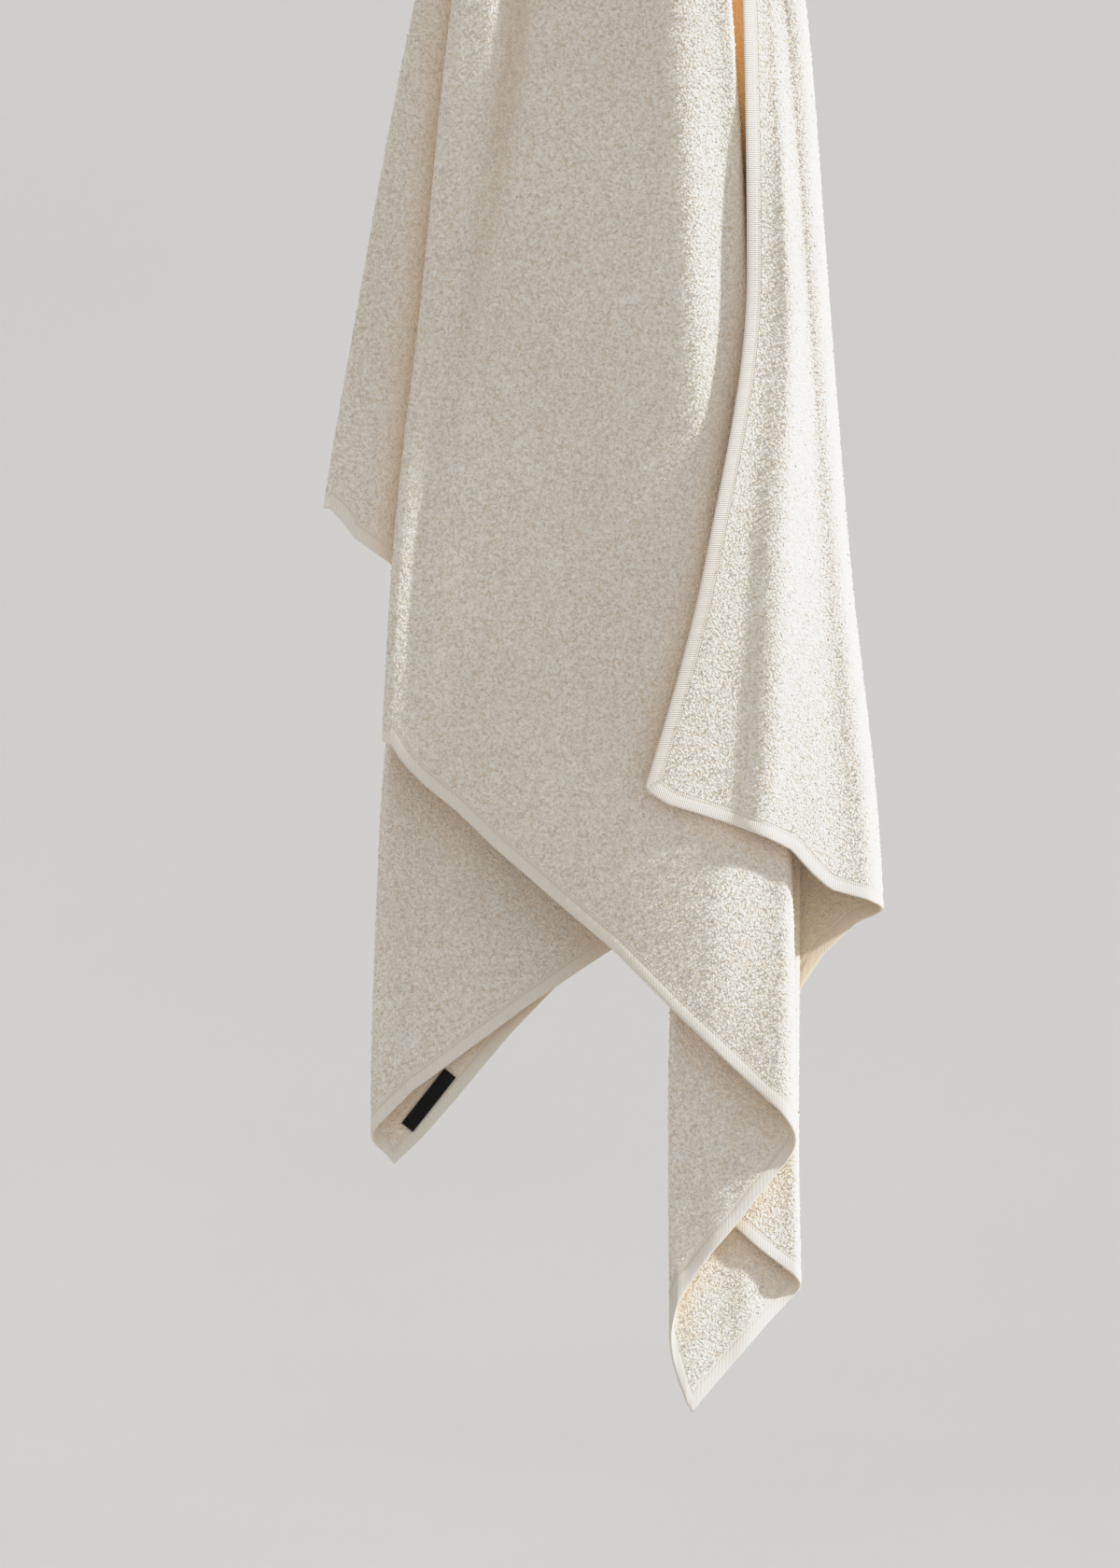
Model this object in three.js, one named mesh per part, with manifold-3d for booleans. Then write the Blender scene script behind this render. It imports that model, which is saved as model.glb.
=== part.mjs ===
// A cotton terry bath towel hanging in folds from a plain wall hook.
// Millimetres, +Z up. The origin is the centre of the wall plate's back; the wall is the plane y = 0
// and everything hangs in front of it, towards -Y.
import * as THREE from 'three';
import { mergeVertices } from 'three/addons/utils/BufferGeometryUtils.js';
import Module from 'manifold-3d';

const wasm = await Module();
wasm.setup();

// Hook
const PLATE_RADIUS = 22.5;
const PLATE_THICKNESS = 5;
const PLATE_ROUNDING = 1.4;
const ROD_RADIUS = 4.5;
const HOOK_REACH = 66;
const BEND_RADIUS = 14;
const BALL_RADIUS = 10;
const BALL_HEIGHT = 50;
const PIECE_GAP = 0.3;
const PLATE_SIDES = 48;
const ROUNDING_STEPS = 4;
const ROD_STEPS = 24;
const ROD_SIDES = 10;
const BALL_SIDES = 24;
const BALL_RINGS = 14;

// Towel
const CLOTH = 2.6;
const HOOK_CLEARANCE = 0.8;
const SADDLE_RADIUS = BALL_RADIUS + HOOK_CLEARANCE + CLOTH / 2;
const BUNCH_PITCH = 3.9;
const TAIL_LENGTH = 34;
const TURN_REACH = 11;
const TURN_SHARE = 0.4;
const RELAX_FROM = 60;
const RELAX_TO = 430;

// Label
const LABEL_LENGTH = 43;
const LABEL_WIDTH = 9;
const LABEL_THICKNESS = 0.6;
const LABEL_CENTRE = { x: -118.3, drop: 845.5 };
const LABEL_SLOPE = Math.atan2(-33.9, -26.8);
const LABEL_GAP = 0.5;

// Lines down the cloth, in its own order from one free edge to the other. Each row gives x at these levels,
// which are distances down from the ball's centre.
const LEVELS = [0, 80, 171, 342, 513, 684, 855, 1026];
const LINES = [
  { name: 'front_free_edge', x: [9, 55, 73, 76, 51, 4, -60, -110] },
  { name: 'right_outer_fold', x: [27, 90, 111, 126, 140, 158, 166, 171] },
  { name: 'lower_left_fold', x: [-24, -85, -109, -128, -135, -148, -153, -151] },
  { name: 'hidden_middle_fold', x: [7, -45, -76, -62, -34, -6, 14, 26] },
  { name: 'upper_left_fold', x: [-27, -100, -124, -158, -186, -200, -210, -218] },
  { name: 'hidden_left_fold', x: [4, -62, -84, -94, -109, -120, -128, -134] },
  { name: 'main_left_fold', x: [-21, -80, -101, -120, -139, -148, -155, -160] },
  { name: 'main_right_fold', x: [15, 50, 65, 78, 91, 103, 106, 106] },
  { name: 'bottom_left_fold', x: [-7, 22, 40, 40, 37, 34, 30, 31] },
  { name: 'bottom_right_fold', x: [17, 46, 61, 77, 95, 110, 109, 112] },
  { name: 'back_free_edge', x: [1, 31, 49, 48, 46, 43, 42, 42] },
];

// Layers of cloth between those lines. order: place in the bunch over the hook, 0 innermost.
// depth: distance from the wall at the start, the crest and the end; crest: where along the layer it lies.
// hem: [share along the layer, distance down from the ball's centre], and each pair is also a column.
const LAYERS = [
  {
    name: 'front_flap', order: 9, crest: 0.58, depth: [101, 94, 80],
    hem: [[0, 653], [0.114, 662], [0.25, 667], [0.442, 675], [0.58, 682], [0.687, 689], [0.73, 695],
      [0.77, 702], [0.862, 714], [1, 720]],
  },
  {
    name: 'wall_layer', order: 0, crest: 0.45, depth: [37, 33, 34],
    hem: [[0, 734], [0.018, 737], [0.087, 756], [0.13, 774], [0.155, 786], [0.25, 789], [0.35, 784],
      [0.45, 764], [0.53, 741], [0.6, 758], [0.644, 775], [0.739, 804], [0.796, 824], [0.855, 845],
      [0.929, 870], [0.984, 885], [1, 879]],
  },
  {
    name: 'lower_left_layer', order: 1, crest: 0.4, depth: [41, 43, 40],
    hem: [[0, 856], [0.05, 848], [0.11, 839], [0.22, 827], [0.346, 813], [0.588, 787], [0.819, 765],
      [1, 749]],
  },
  {
    name: 'hidden_left_layer', order: 2, crest: 0.5, depth: [46, 47, 47],
    hem: [[0, 745], [0.18, 698], [0.33, 638], [0.5, 570], [0.68, 516], [0.77, 503], [1, 480]],
  },
  {
    name: 'upper_left_layer', order: 3, crest: 0.4, depth: [53, 55, 53],
    hem: [[0, 480], [0.12, 488], [0.26, 499], [0.58, 514], [1, 535]],
  },
  {
    name: 'hidden_pleat', order: 4, crest: 0.5, depth: [59, 60, 60],
    hem: [[0, 536], [0.5, 578], [1, 620]],
  },
  {
    name: 'main_panel', order: 8, crest: 0.82, depth: [71, 92, 84],
    hem: [[0, 626], [0.026, 636], [0.082, 649], [0.177, 667], [0.27, 688], [0.368, 708], [0.48, 731],
      [0.58, 751], [0.73, 787], [0.8, 803], [0.88, 821], [0.95, 837], [1, 848]],
  },
  {
    name: 'curled_layer', order: 7, crest: 0.5, depth: [75, 72, 69],
    hem: [[0, 887], [0.24, 905], [0.43, 920], [0.63, 934], [0.8, 948], [0.93, 960], [1, 968]],
  },
  {
    name: 'bottom_layer', order: 5, crest: 0.5, depth: [60, 55, 46],
    hem: [[0, 1016], [0.073, 1030], [0.12, 1035], [0.193, 1028], [0.49, 1004], [0.77, 982], [1, 966]],
  },
  {
    name: 'inner_layer', order: 6, crest: 0.5, depth: [55, 60, 64.5],
    hem: [[0, 951], [0.3, 936], [0.563, 921], [1, 896]],
  },
];
const WALL_LAYER = LAYERS.findIndex((layer) => layer.name === 'wall_layer');

// Soft troughs and ridges in one layer: share along the layer and height at each level, half width in mm.
const RELIEF = [
  {
    layer: 'main_panel', halfWidth: 9,
    share: [0.21, 0.21, 0.21, 0.14, 0.06, 0.02, 0, 0],
    height: [0, -5, -13, -8, -4, 0, 0, 0],
  },
  {
    layer: 'main_panel', halfWidth: 26,
    share: [0.8, 0.8, 0.8, 0.82, 0.84, 0.84, 0.84, 0.84],
    height: [0, 3, 6, 4, 0, 0, 0, 0],
  },
  {
    layer: 'main_panel', halfWidth: 26,
    share: [1, 1, 1, 1, 1, 1, 1, 1],
    height: [0, 0, 0, 0, 0, 1, 8, 9],
  },
  {
    layer: 'curled_layer', halfWidth: 20,
    share: [0, 0, 0, 0, 0, 0, 0, 0],
    height: [0, 0, 0, 0, 0, 0, -3, -3],
  },
  {
    layer: 'lower_left_layer', halfWidth: 22,
    share: [0, 0, 0, 0, 0, 0, 0, 0],
    height: [0, 0, 0, 0, 0, 3, 9, 11],
  },
  {
    layer: 'front_flap', halfWidth: 70,
    share: [0, 0, 0, 0, 0, 0, 0, 0],
    height: [0, -2, -6, -9, 0, 0, 0, 0],
  },
  {
    layer: 'front_flap', halfWidth: 35,
    share: [1, 1, 1, 1, 1, 1, 1, 1],
    height: [0, -4, -9, 4, 0, 0, 0, 0],
  },
  {
    layer: 'front_flap', halfWidth: 12,
    share: [0.5, 0.5, 0.5, 0.5, 0.52, 0.55, 0.55, 0.55],
    height: [0, 0, 0, 1, 4, 4, 4, 4],
  },
];

// Rows down the cloth
const SADDLE_STEPS = 6;
const UPPER_ROWS = [28, 62, 104, 150];
const LOWER_ROWS = 13;
const PROBE = 0.02;

const mix = THREE.MathUtils.lerp;

/** The slope of a row of level values at one level: even where the row turns, never past its neighbours. */
function slopeAt(values, k) {
  const steps = [k - 1, k].filter((n) => n >= 0 && n + 1 < LEVELS.length)
    .map((n) => (values[n + 1] - values[n]) / (LEVELS[n + 1] - LEVELS[n]));
  const [above, below = above] = steps;
  return above * below > 0 ? 2 * above * below / (above + below) : 0;
}

/** Reads a row of level values at a distance down the cloth, as one smooth curve. */
function atLevel(values, drop) {
  const place = THREE.MathUtils.clamp(drop, 0, LEVELS.at(-1));
  const k = Math.min(LEVELS.findLastIndex((level) => level <= place), LEVELS.length - 2);
  const span = LEVELS[k + 1] - LEVELS[k];
  const t = (place - LEVELS[k]) / span;
  const ease = t * t * (3 - 2 * t);
  const lean = span * t * (1 - t) * ((1 - t) * slopeAt(values, k) - t * slopeAt(values, k + 1));
  return mix(values[k], values[k + 1], ease) + lean;
}

/** Distance from the wall of a layer, at a share along it. */
function depthAt(index, share, drop) {
  const layer = LAYERS[index];
  const [start, crest, end] = layer.depth;
  const settled = share < layer.crest
    ? mix(start, crest, THREE.MathUtils.smoothstep(share / layer.crest, 0, 1))
    : mix(crest, end, THREE.MathUtils.smoothstep((share - layer.crest) / (1 - layer.crest), 0, 1));
  const bunched = HOOK_REACH + SADDLE_RADIUS + BUNCH_PITCH * layer.order;
  const relaxed = THREE.MathUtils.smoothstep(drop, RELAX_FROM, RELAX_TO);
  const width = Math.abs(atLevel(LINES[index + 1].x, drop) - atLevel(LINES[index].x, drop));
  const relief = RELIEF.filter((row) => row.layer === layer.name).reduce((sum, row) => {
    const away = (share - atLevel(row.share, drop)) * width / row.halfWidth;
    return sum + atLevel(row.height, drop) * Math.exp(-away * away);
  }, 0);
  return mix(bunched, settled, relaxed) + relief;
}

/** Middle depth of the turn at a line, and how far the turn reaches along x. */
function turnAt(line, drop) {
  if (line === 0 || line === LINES.length - 1) return { middle: 0, reach: 0 };
  const before = depthAt(line - 1, 1, drop);
  const after = depthAt(line, 0, drop);
  const widths = [line, line + 1].map(
    (n) => Math.abs(atLevel(LINES[n].x, drop) - atLevel(LINES[n - 1].x, drop)),
  );
  const reach = Math.min(Math.abs(before - after) / 2, TURN_REACH, TURN_SHARE * Math.min(...widths));
  return { middle: (before + after) / 2, reach };
}

/**
 * A point of the cloth's middle surface, as x and distance from the wall. column.turn is 0 on the flat of
 * the layer and runs to 1 at the middle of the turn that starts or ends it.
 */
function sectionPoint(column, drop) {
  const { index, share, turn } = column;
  const from = atLevel(LINES[index].x, drop);
  const to = atLevel(LINES[index + 1].x, drop);
  const way = Math.sign(to - from);
  const first = turnAt(index, drop);
  const last = turnAt(index + 1, drop);
  const x = mix(from + way * first.reach, to - way * last.reach, share);
  const depth = depthAt(index, share, drop);
  if (turn === 0) return { x, depth };
  const { middle, reach } = share === 0 ? first : last;
  const outward = share === 0 ? -way : way;
  const angle = turn * Math.PI / 2;
  return { x: x + outward * reach * Math.sin(angle), depth: mix(middle, depth, Math.cos(angle)) };
}

/**
 * A point of the cloth's middle surface in space. run is the distance down the front from the ball's
 * centre; below zero it goes back over the ball and down the short tail behind it.
 */
function clothPoint(column, run) {
  const { x, depth } = sectionPoint(column, Math.max(run, 0));
  if (run >= 0) return new THREE.Vector3(x, -depth, BALL_HEIGHT - run);
  const radius = depth - HOOK_REACH;
  const overBall = Math.min(-run / SADDLE_RADIUS, Math.PI);
  const tail = Math.max(-run - Math.PI * SADDLE_RADIUS, 0);
  return new THREE.Vector3(
    x,
    -HOOK_REACH - radius * Math.cos(overBall),
    BALL_HEIGHT + radius * Math.sin(overBall) - tail,
  );
}

/** Every column of the cloth with its hem, in order, with the turns between the layers. */
function makeColumns() {
  const columns = [];
  LAYERS.forEach((layer, index) => {
    const last = index === LAYERS.length - 1;
    for (const [share, hem] of layer.hem) columns.push({ index, share, turn: 0, hem });
    if (last) return;
    const ends = layer.hem.at(-1)[1];
    const starts = LAYERS[index + 1].hem[0][1];
    columns.push({ index, share: 1, turn: 0.5, hem: mix(ends, starts, 0.25) });
    columns.push({ index, share: 1, turn: 1, hem: mix(ends, starts, 0.5) });
    columns.push({ index: index + 1, share: 0, turn: 0.5, hem: mix(ends, starts, 0.75) });
  });
  return columns;
}

/** Distances down the front at which a column has its points, from the tail to the hem. */
function rowsOf(column) {
  const rows = [-Math.PI * SADDLE_RADIUS - TAIL_LENGTH];
  for (let k = SADDLE_STEPS; k >= 0; k -= 1) rows.push(-Math.PI * SADDLE_RADIUS * k / SADDLE_STEPS);
  rows.push(...UPPER_ROWS);
  const top = UPPER_ROWS.at(-1);
  for (let k = 1; k <= LOWER_ROWS; k += 1) rows.push(mix(top, column.hem, k / LOWER_ROWS));
  return rows;
}

/** The cloth's unit normal at a column, on its face side. */
function clothNormal(columns, c, run) {
  const point = clothPoint(columns[c], run);
  const toward = (n) => clothPoint(columns[THREE.MathUtils.clamp(n, 0, columns.length - 1)], run)
    .sub(point).normalize();
  const across = toward(c + 1).sub(toward(c - 1));
  const down = clothPoint(columns[c], run + PROBE).sub(clothPoint(columns[c], run - PROBE));
  return across.cross(down).normalize();
}

/** The towel: the middle surface given its thickness on both sides and closed along its hems. */
function makeTowel() {
  const columns = makeColumns();
  const runs = columns.map(rowsOf);
  const count = { columns: runs.length, rows: runs[0].length };
  const positions = [];
  for (const side of [1, -1]) {
    runs.forEach((line, c) => {
      for (const run of line) {
        const point = clothPoint(columns[c], run);
        point.addScaledVector(clothNormal(columns, c, run), side * CLOTH / 2);
        positions.push(...point.toArray());
      }
    });
  }
  const sideSize = count.columns * count.rows;
  const at = (side, c, r) => side * sideSize + c * count.rows + r;
  const faces = [];
  const quad = (a, b, c, d) => faces.push(a, b, c, a, c, d);
  for (let c = 0; c + 1 < count.columns; c += 1) {
    for (let r = 0; r + 1 < count.rows; r += 1) {
      quad(at(0, c, r), at(0, c + 1, r), at(0, c + 1, r + 1), at(0, c, r + 1));
      quad(at(1, c, r), at(1, c, r + 1), at(1, c + 1, r + 1), at(1, c + 1, r));
    }
    const end = count.rows - 1;
    quad(at(0, c, 0), at(1, c, 0), at(1, c + 1, 0), at(0, c + 1, 0));
    quad(at(0, c, end), at(0, c + 1, end), at(1, c + 1, end), at(1, c, end));
  }
  for (let r = 0; r + 1 < count.rows; r += 1) {
    const end = count.columns - 1;
    quad(at(0, 0, r), at(0, 0, r + 1), at(1, 0, r + 1), at(1, 0, r));
    quad(at(0, end, r), at(1, end, r), at(1, end, r + 1), at(0, end, r + 1));
  }
  return solidGeometry(positions, faces);
}

function solidGeometry(positions, faces) {
  const geometry = new THREE.BufferGeometry();
  geometry.setAttribute('position', new THREE.Float32BufferAttribute(positions, 3));
  geometry.setIndex(faces);
  return geometry;
}

/** The label: a thin strip that follows the cloth under it. */
function makeLabel() {
  const geometry = new THREE.BoxGeometry(LABEL_LENGTH, LABEL_THICKNESS, LABEL_WIDTH, 5, 1, 2);
  const points = geometry.attributes.position;
  const under = { index: WALL_LAYER, turn: 0 };
  for (let k = 0; k < points.count; k += 1) {
    const [along, out, aside] = [points.getX(k), points.getY(k), points.getZ(k)];
    const x = LABEL_CENTRE.x + along * Math.cos(LABEL_SLOPE) - aside * Math.sin(LABEL_SLOPE);
    const drop = LABEL_CENTRE.drop - along * Math.sin(LABEL_SLOPE) - aside * Math.cos(LABEL_SLOPE);
    const ends = [0, 1].map((share) => sectionPoint({ ...under, share }, drop).x);
    const share = (x - ends[0]) / (ends[1] - ends[0]);
    const { depth } = sectionPoint({ ...under, share }, drop);
    const lift = CLOTH / 2 + LABEL_GAP + LABEL_THICKNESS / 2 - out;
    points.setXYZ(k, x, -depth - lift, BALL_HEIGHT - drop);
  }
  return geometry;
}

function toManifold(geometry) {
  const bare = geometry.clone();
  for (const name of ['normal', 'uv']) bare.deleteAttribute(name);
  const merged = mergeVertices(bare, 1e-4);
  return new wasm.Manifold(new wasm.Mesh({
    numProp: 3,
    vertProperties: new Float32Array(merged.attributes.position.array),
    triVerts: new Uint32Array(merged.index.array),
  }));
}

function fromManifold(solid) {
  const mesh = solid.getMesh();
  return solidGeometry(mesh.vertProperties, Array.from(mesh.triVerts));
}

/** The wall plate: a disc with a rounded front rim, its flat back on the wall. */
function makePlate() {
  const profile = [new THREE.Vector2(0, 0), new THREE.Vector2(PLATE_RADIUS, 0)];
  for (let k = 0; k <= ROUNDING_STEPS; k += 1) {
    const angle = k * Math.PI / 2 / ROUNDING_STEPS;
    profile.push(new THREE.Vector2(
      PLATE_RADIUS - PLATE_ROUNDING * (1 - Math.cos(angle)),
      PLATE_THICKNESS - PLATE_ROUNDING * (1 - Math.sin(angle)),
    ));
  }
  profile.push(new THREE.Vector2(0, PLATE_THICKNESS));
  return new THREE.LatheGeometry(profile, PLATE_SIDES).rotateX(Math.PI);
}

/** The rod: straight out from the plate, bent upwards, and ending in a ball. */
function makeArm() {
  const route = new THREE.CurvePath();
  const corner = new THREE.Vector3(0, -HOOK_REACH, 0);
  const bendStart = new THREE.Vector3(0, -HOOK_REACH + BEND_RADIUS, 0);
  const bendEnd = new THREE.Vector3(0, -HOOK_REACH, BEND_RADIUS);
  const tip = new THREE.Vector3(0, -HOOK_REACH, BALL_HEIGHT);
  route.add(new THREE.LineCurve3(new THREE.Vector3(0, -PLATE_THICKNESS - PIECE_GAP, 0), bendStart));
  route.add(new THREE.QuadraticBezierCurve3(bendStart, corner, bendEnd));
  route.add(new THREE.LineCurve3(bendEnd, tip));
  const section = new THREE.Shape();
  section.absarc(0, 0, ROD_RADIUS, 0, 2 * Math.PI);
  const options = { steps: ROD_STEPS, curveSegments: ROD_SIDES, extrudePath: route };
  const rod = new THREE.ExtrudeGeometry(section, options);
  const ball = new THREE.SphereGeometry(BALL_RADIUS, BALL_SIDES, BALL_RINGS)
    .translate(0, -HOOK_REACH, BALL_HEIGHT);
  return fromManifold(toManifold(rod).add(toManifold(ball)));
}

function piece(name, geometry, colour, roughness, metalness) {
  const material = new THREE.MeshStandardMaterial({ color: colour, roughness, metalness });
  const mesh = new THREE.Mesh(geometry, material);
  mesh.name = name;
  return mesh;
}

const towelOnHook = new THREE.Group();
towelOnHook.name = 'towel_on_hook';
towelOnHook.add(
  piece('towel', makeTowel(), 0xe9e2d5, 0.95, 0),
  piece('label', makeLabel(), 0x16151a, 0.8, 0),
  piece('hook_plate', makePlate(), 0xd8d8d4, 0.35, 0.9),
  piece('hook_arm', makeArm(), 0xd8d8d4, 0.35, 0.9),
);

export default towelOnHook;
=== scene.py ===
"""A cream terry bath towel hanging in folds from a plain wall hook."""
import math

import bpy
import numpy as np
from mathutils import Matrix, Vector
from mathutils.bvhtree import BVHTree


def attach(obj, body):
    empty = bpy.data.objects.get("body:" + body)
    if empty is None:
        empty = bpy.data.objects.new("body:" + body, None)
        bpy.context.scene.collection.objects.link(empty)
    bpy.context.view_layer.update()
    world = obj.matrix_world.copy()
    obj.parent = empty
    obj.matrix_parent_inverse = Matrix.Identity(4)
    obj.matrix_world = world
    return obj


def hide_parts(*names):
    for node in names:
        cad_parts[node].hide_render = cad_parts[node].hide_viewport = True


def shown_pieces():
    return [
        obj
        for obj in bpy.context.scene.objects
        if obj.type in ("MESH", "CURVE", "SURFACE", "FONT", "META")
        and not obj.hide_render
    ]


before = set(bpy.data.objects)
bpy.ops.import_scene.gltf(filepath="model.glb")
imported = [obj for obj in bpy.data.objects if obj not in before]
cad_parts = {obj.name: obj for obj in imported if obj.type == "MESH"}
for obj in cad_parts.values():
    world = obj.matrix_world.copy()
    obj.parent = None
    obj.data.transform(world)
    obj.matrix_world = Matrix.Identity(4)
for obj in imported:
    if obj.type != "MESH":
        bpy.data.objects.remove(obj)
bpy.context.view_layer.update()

MM = 0.001
SEED = 7

# Photograph: picture size in pixels, its scale, and where the ball's centre falls in it, above its top edge
PICTURE = (1200, 1680)
PIXEL = 0.57 * MM
HOOK_PIXEL = (665, -300)
CAMERA_DISTANCE = 2.6
SENSOR = 36
FRONT_PLANE = 0.07

# Hook, in millimetres, as the frame has it
HOOK_REACH = 66
BALL_RADIUS = 10
BALL_HEIGHT = 50

# Towel, in millimetres, but for the cut, which is in metres
CLOTH = 2.6
HOOK_CLEARANCE = 0.8
SADDLE_RADIUS = BALL_RADIUS + HOOK_CLEARANCE + CLOTH / 2
BUNCH_PITCH = 3.9
TAIL_LENGTH = 34
TURN_REACH = 11
TURN_SHARE = 0.4
RELAX_FROM = 60
RELAX_TO = 430
GROUND_CLOTH = 1.5

# Hem: its thickness and width, its stitch line, and the distances from an edge at which the cloth has points
HEM_CLOTH = 2.0
HEM_WIDTH = 8.6
HEM_ENDS = (HEM_WIDTH - 0.6, HEM_WIDTH + 0.8)
STITCH_INSET = 7.2
STITCH_DIP = 0.3
STITCH_DIP_WIDTH = 0.7
HEM_INSETS = np.array([0, 0.7, 2.0, 4.0, 6.0, STITCH_INSET, HEM_WIDTH, 9.6, 11.5])
HEM_FADE = 0.4
EDGE_ZONE_SHARE = 0.5
EDGE_ROUNDING = 1.4
EDGE_LEAST = 0.7
EDGE_RISE = 0.3

# Grid of the cloth: rows over the ball and down the front, and steps in each turn between two layers
TURN_STEPS = 4
SADDLE_ROWS = 16
SADDLE_FROM = 17
UPPER_ROW_STEP = 7
UPPER_END = 150
LOWER_ROWS = 88
LEAST_SHARE = 0.008
LEAST_STEP = 0.2
STEEPEST_HEM = 3
PROBE = 0.02

# Lines down the cloth, in its own order from one free edge to the other: x at each level below the ball
LEVELS = np.array([0, 80, 171, 342, 513, 684, 855, 1026], float)
LINES = {
    "front_free_edge": [9, 55, 73, 76, 51, 4, -60, -110],
    "right_outer_fold": [27, 90, 111, 126, 140, 158, 166, 171],
    "lower_left_fold": [-24, -85, -109, -128, -135, -148, -153, -151],
    "hidden_middle_fold": [7, -45, -76, -62, -34, -6, 14, 26],
    "upper_left_fold": [-27, -100, -124, -158, -186, -200, -210, -218],
    "hidden_left_fold": [4, -62, -84, -94, -109, -120, -128, -134],
    "main_left_fold": [-21, -80, -101, -120, -139, -148, -155, -160],
    "main_right_fold": [15, 50, 65, 78, 91, 103, 106, 106],
    "bottom_left_fold": [-7, 22, 40, 40, 37, 34, 30, 31],
    "bottom_right_fold": [17, 46, 61, 77, 95, 110, 109, 112],
    "back_free_edge": [1, 31, 49, 48, 46, 43, 42, 42],
}
LINE_X = [np.array(row, float) for row in LINES.values()]

# Layers of cloth between those lines. order: place in the bunch over the hook, 0 innermost.
# depth: distance from the wall at the start, the crest and the end.
# hem: share along the layer and distance below the ball's centre.
LAYERS = [
    dict(name="front_flap", order=9, crest=0.58, depth=(101, 94, 80), columns=18,
         hem=[(0, 653), (0.114, 662), (0.25, 667), (0.442, 675), (0.58, 682), (0.687, 689), (0.73, 695),
              (0.77, 702), (0.862, 714), (1, 720)]),
    dict(name="wall_layer", order=0, crest=0.45, depth=(37, 33, 34), columns=26,
         hem=[(0, 734), (0.018, 737), (0.087, 756), (0.13, 774), (0.155, 786), (0.25, 789), (0.35, 784),
              (0.45, 764), (0.53, 741), (0.6, 758), (0.644, 775), (0.739, 804), (0.796, 824), (0.855, 845),
              (0.929, 870), (0.984, 885), (1, 879)]),
    dict(name="lower_left_layer", order=1, crest=0.4, depth=(41, 43, 40), columns=24,
         hem=[(0, 856), (0.05, 848), (0.11, 839), (0.22, 827), (0.346, 813), (0.588, 787), (0.819, 765),
              (1, 749)]),
    dict(name="hidden_left_layer", order=2, crest=0.5, depth=(46, 47, 47), columns=8,
         hem=[(0, 745), (0.18, 698), (0.33, 638), (0.5, 570), (0.68, 516), (0.77, 503), (1, 480)]),
    dict(name="upper_left_layer", order=3, crest=0.4, depth=(53, 55, 53), columns=12,
         hem=[(0, 480), (0.12, 488), (0.26, 499), (0.58, 514), (1, 535)]),
    dict(name="hidden_pleat", order=4, crest=0.5, depth=(59, 60, 60), columns=4,
         hem=[(0, 536), (0.5, 578), (1, 620)]),
    dict(name="main_panel", order=8, crest=0.82, depth=(71, 92, 84), columns=48,
         hem=[(0, 626), (0.026, 636), (0.082, 649), (0.177, 667), (0.27, 688), (0.368, 708), (0.48, 731),
              (0.58, 751), (0.73, 787), (0.8, 803), (0.88, 821), (0.95, 837), (1, 848)]),
    dict(name="curled_layer", order=7, crest=0.5, depth=(75, 72, 69), columns=18,
         hem=[(0, 887), (0.24, 905), (0.43, 920), (0.63, 934), (0.8, 948), (0.93, 960), (1, 968)]),
    dict(name="bottom_layer", order=5, crest=0.5, depth=(60, 55, 46), columns=18,
         hem=[(0, 1016), (0.073, 1030), (0.12, 1035), (0.193, 1028), (0.49, 1004), (0.77, 982), (1, 966)]),
    dict(name="inner_layer", order=6, crest=0.5, depth=(55, 60, 64.5), columns=10,
         hem=[(0, 951), (0.3, 936), (0.563, 921), (1, 896)]),
]
WALL_LAYER = 1
SIDES = ("face", "reverse")

# Soft troughs and ridges in one layer: share along the layer and height at each level, half width in mm
RELIEF = [
    dict(layer="main_panel", half_width=9,
         share=[0.21, 0.21, 0.21, 0.14, 0.06, 0.02, 0, 0], height=[0, -5, -13, -8, -4, 0, 0, 0]),
    dict(layer="main_panel", half_width=26,
         share=[0.8, 0.8, 0.8, 0.82, 0.84, 0.84, 0.84, 0.84], height=[0, 3, 6, 4, 0, 0, 0, 0]),
    dict(layer="main_panel", half_width=26,
         share=[1, 1, 1, 1, 1, 1, 1, 1], height=[0, 0, 0, 0, 0, 1, 8, 9]),
    dict(layer="curled_layer", half_width=20,
         share=[0, 0, 0, 0, 0, 0, 0, 0], height=[0, 0, 0, 0, 0, 0, -3, -3]),
    dict(layer="lower_left_layer", half_width=22,
         share=[0, 0, 0, 0, 0, 0, 0, 0], height=[0, 0, 0, 0, 0, 3, 9, 11]),
    dict(layer="front_flap", half_width=70,
         share=[0, 0, 0, 0, 0, 0, 0, 0], height=[0, -2, -6, -9, 0, 0, 0, 0]),
    dict(layer="front_flap", half_width=35,
         share=[1, 1, 1, 1, 1, 1, 1, 1], height=[0, -4, -9, 4, 0, 0, 0, 0]),
    dict(layer="front_flap", half_width=12,
         share=[0.5, 0.5, 0.5, 0.5, 0.52, 0.55, 0.55, 0.55], height=[0, 0, 0, 1, 4, 4, 4, 4]),
]

# Label, in millimetres: its middle is given as x and the distance below the ball's centre
LABEL_LENGTH = 43
LABEL_WIDTH = 9
LABEL_CENTRE = (-118.3, 845.5)
LABEL_SLOPE = math.atan2(-33.9, -26.8)
LABEL_LIFT = CLOTH / 2 + 0.5
LABEL_TAPE = 0.45
LABEL_EDGE = 0.5
LABEL_EDGE_LEAST = 0.55
LABEL_EDGE_RISE = 0.45
LABEL_FOLD = 4
LABEL_FOLD_RISE = 0.3
LABEL_STITCH = 2.2
LABEL_STITCH_DIP = 0.15
LABEL_WEAVE = 0.035
LABEL_GRID = (86, 18)

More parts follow.
